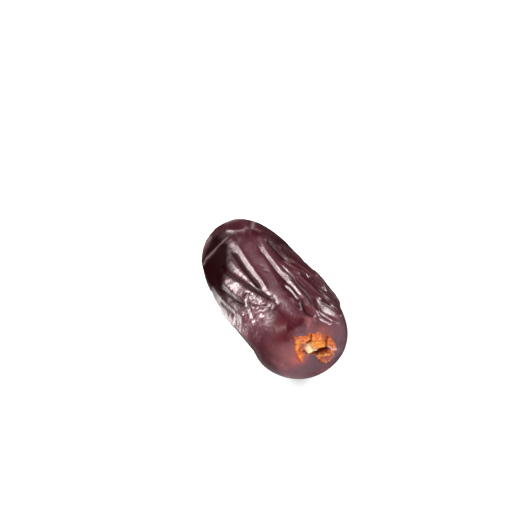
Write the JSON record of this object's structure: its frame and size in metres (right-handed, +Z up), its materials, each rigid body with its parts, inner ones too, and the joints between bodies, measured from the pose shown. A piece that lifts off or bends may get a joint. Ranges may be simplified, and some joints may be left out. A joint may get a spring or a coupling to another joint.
{
  "type": "khudri date",
  "caption": "Dried date fruit lying on its side: a blunt oval body with lengthwise skin folds, an open stem scar at one end and a small flat resting spot underneath.",
  "frame": {"origin": "on the surface the date rests on, under the middle of its bounding box", "axes": "+X along the fruit towards the stem end, +Z up, -Y towards the side with the crumpled patches"},
  "size_m": [0.0417, 0.0197, 0.0188],
  "materials": {
    "dried_skin": "dark maroon wrinkled fruit skin with a soft waxy gloss, orange flesh bare at the stem scar"
  },
  "bodies": {
    "root": {"date_fruit": "dried_skin"}
  },
  "joints": []
}
